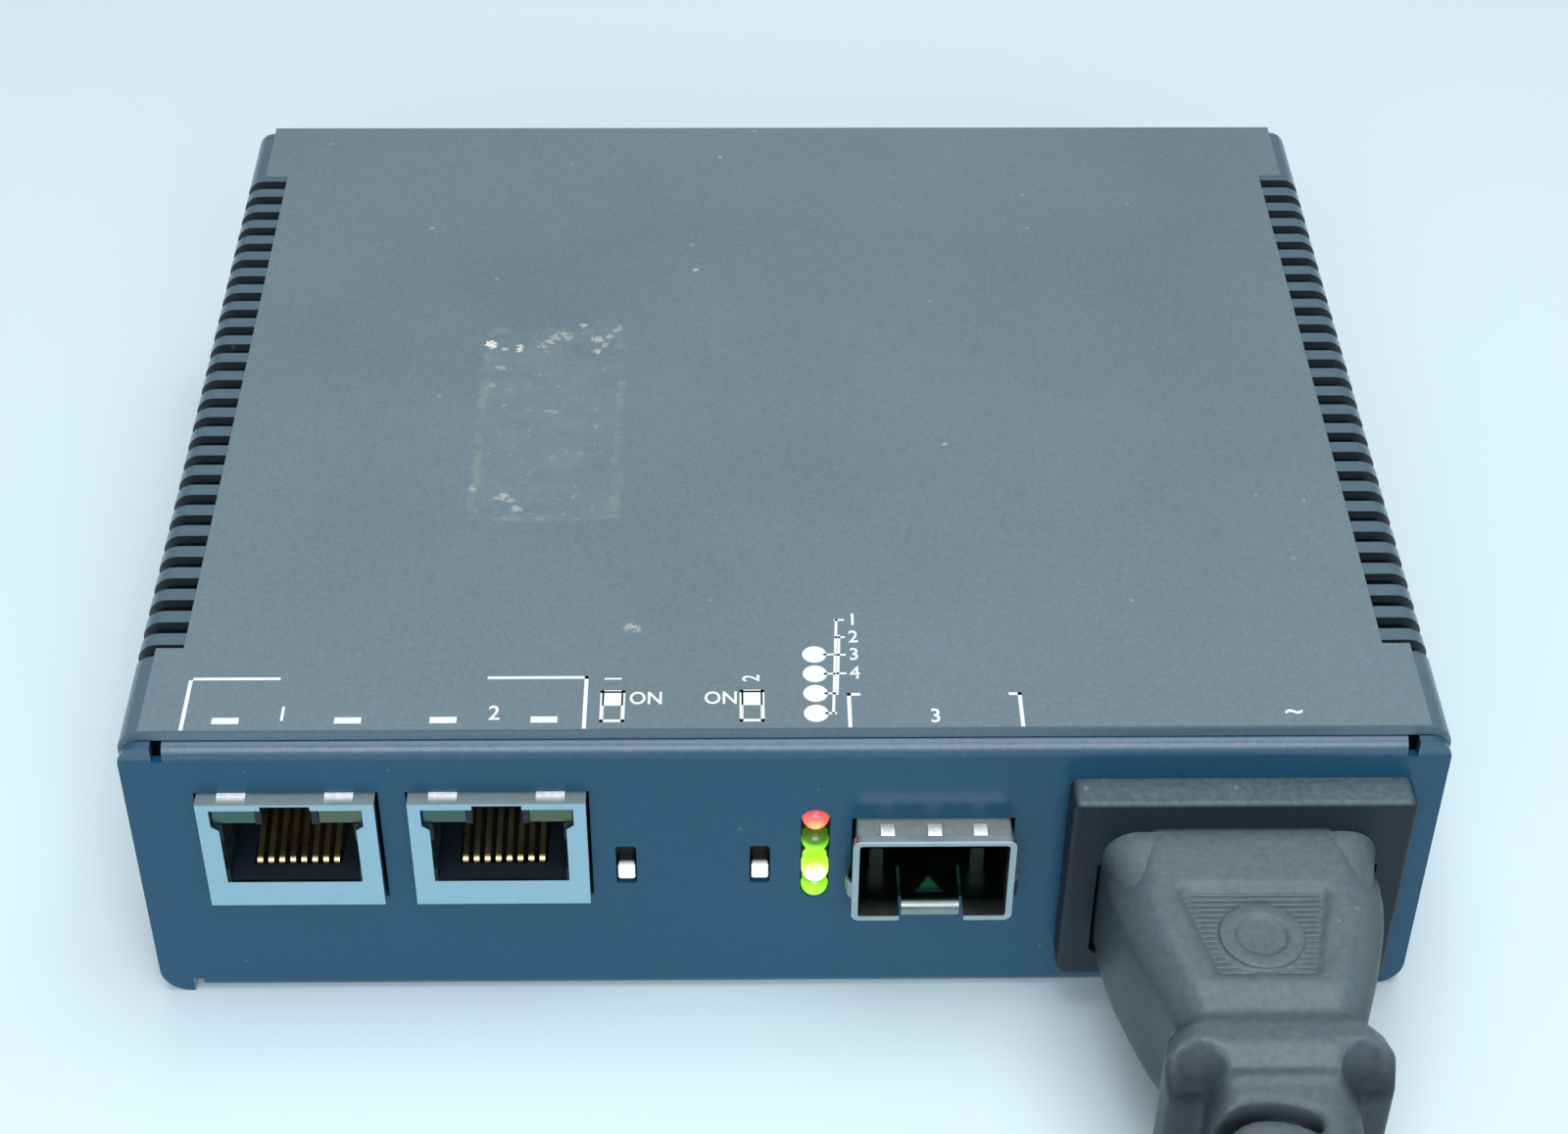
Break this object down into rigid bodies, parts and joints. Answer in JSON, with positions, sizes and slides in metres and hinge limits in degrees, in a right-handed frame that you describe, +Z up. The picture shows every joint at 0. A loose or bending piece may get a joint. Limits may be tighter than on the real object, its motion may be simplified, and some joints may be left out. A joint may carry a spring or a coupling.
{
  "type": "fibre media converter",
  "caption": "Small sheet-steel network converter box with two copper ports, slide switches, a lamp stack, a pluggable optical port and a mains inlet with its cord.",
  "frame": {"origin": "centre of the case's underside, on the surface that it stands on", "axes": "+X to the right seen from the front panel, +Y from the front panel to the back, +Z up"},
  "size_m": [0.128, 0.3173, 0.0336],
  "materials": {
    "dark_coat": "dark grey semi-gloss powder coat on steel sheet",
    "grey_label": "matt printed grey film with white line work",
    "black_screw": "black oxide steel",
    "plated_steel": "zinc plated",
    "nickel": "bright nickel plating",
    "gold_contact": "gold flashed",
    "contact_brass": "plain sheet brass",
    "black_plastic": "glass filled, fine texture",
    "white_plastic": "smooth moulded",
    "green_lens": "clear tinted epoxy, lit",
    "red_lens": "clear tinted epoxy, lit",
    "dull_green_lens": "unlit lens",
    "dull_amber_lens": "unlit lens",
    "board_green": "solder mask on glass epoxy",
    "board_brown": "phenolic paper",
    "can_sleeve": "shrink sleeve over an aluminium can",
    "bare_aluminium": "extruded, unpainted",
    "ferrite": "sintered ferrite",
    "winding_tape": "yellow polyester tape",
    "fuse_glass": "clear tube with plated caps",
    "lead_insulation": "vinyl insulation",
    "soft_black": "moulded vinyl, satin",
    "cord_black": "vinyl jacket"
  },
  "bodies": {
    "case": {"board_capacitors": "can_sleeve", "board_crystal": "plated_steel", "board_screws": "plated_steel", "board_standoffs": "plated_steel", "bulk_capacitor": "can_sleeve", "chassis_base": "dark_coat", "chip_heatsink": "bare_aluminium", "connector_contacts": "contact_brass", "converter_chip": "black_plastic", "cord_coil": "cord_black", "cord_tail": "cord_black", "cover_screws": "black_screw", "dc_leads": "lead_insulation", "green_lamps": "green_lens", "inlet_housing": "black_plastic", "inlet_pins": "nickel", "jack_amber_light_left": "dull_amber_lens", "jack_amber_light_right": "dull_amber_lens", "jack_contacts_left": "gold_contact", "jack_contacts_right": "gold_contact", "jack_green_light_left": "dull_green_lens", "jack_green_light_right": "dull_green_lens", "jack_housing_left": "black_plastic", "jack_housing_right": "black_plastic", "jack_shield_left": "nickel", "jack_shield_right": "nickel", "lamp_holder": "black_plastic", "line_choke": "ferrite", "main_board": "board_green", "mains_connector": "soft_black", "mains_cord": "cord_black", "mains_fuse": "fuse_glass", "output_capacitors": "can_sleeve", "port_transformers": "black_plastic", "red_lamp": "red_lens", "sfp_cage": "nickel", "sfp_connector": "black_plastic", "supply_board": "board_brown", "supply_heatsink": "bare_aluminium", "supply_leads": "lead_insulation", "supply_screws": "plated_steel", "supply_standoffs": "plated_steel", "supply_transistor": "black_plastic", "switch_body_left": "black_plastic", "switch_body_right": "black_plastic", "top_cover": "dark_coat", "top_label": "grey_label", "transformer_core": "ferrite", "transformer_winding": "winding_tape", "wall_plug": "soft_black", "wall_plug_blades": "nickel"},
    "left_knob": {"switch_knob_left": "white_plastic"},
    "right_knob": {"switch_knob_right": "white_plastic"}
  },
  "joints": [
    {"name": "left_switch", "type": "slide", "parent": "case", "child": "left_knob", "axis": [0, 0, 1], "range_m": [0, 0.002]},
    {"name": "right_switch", "type": "slide", "parent": "case", "child": "right_knob", "axis": [0, 0, 1], "range_m": [0, 0.002]}
  ]
}
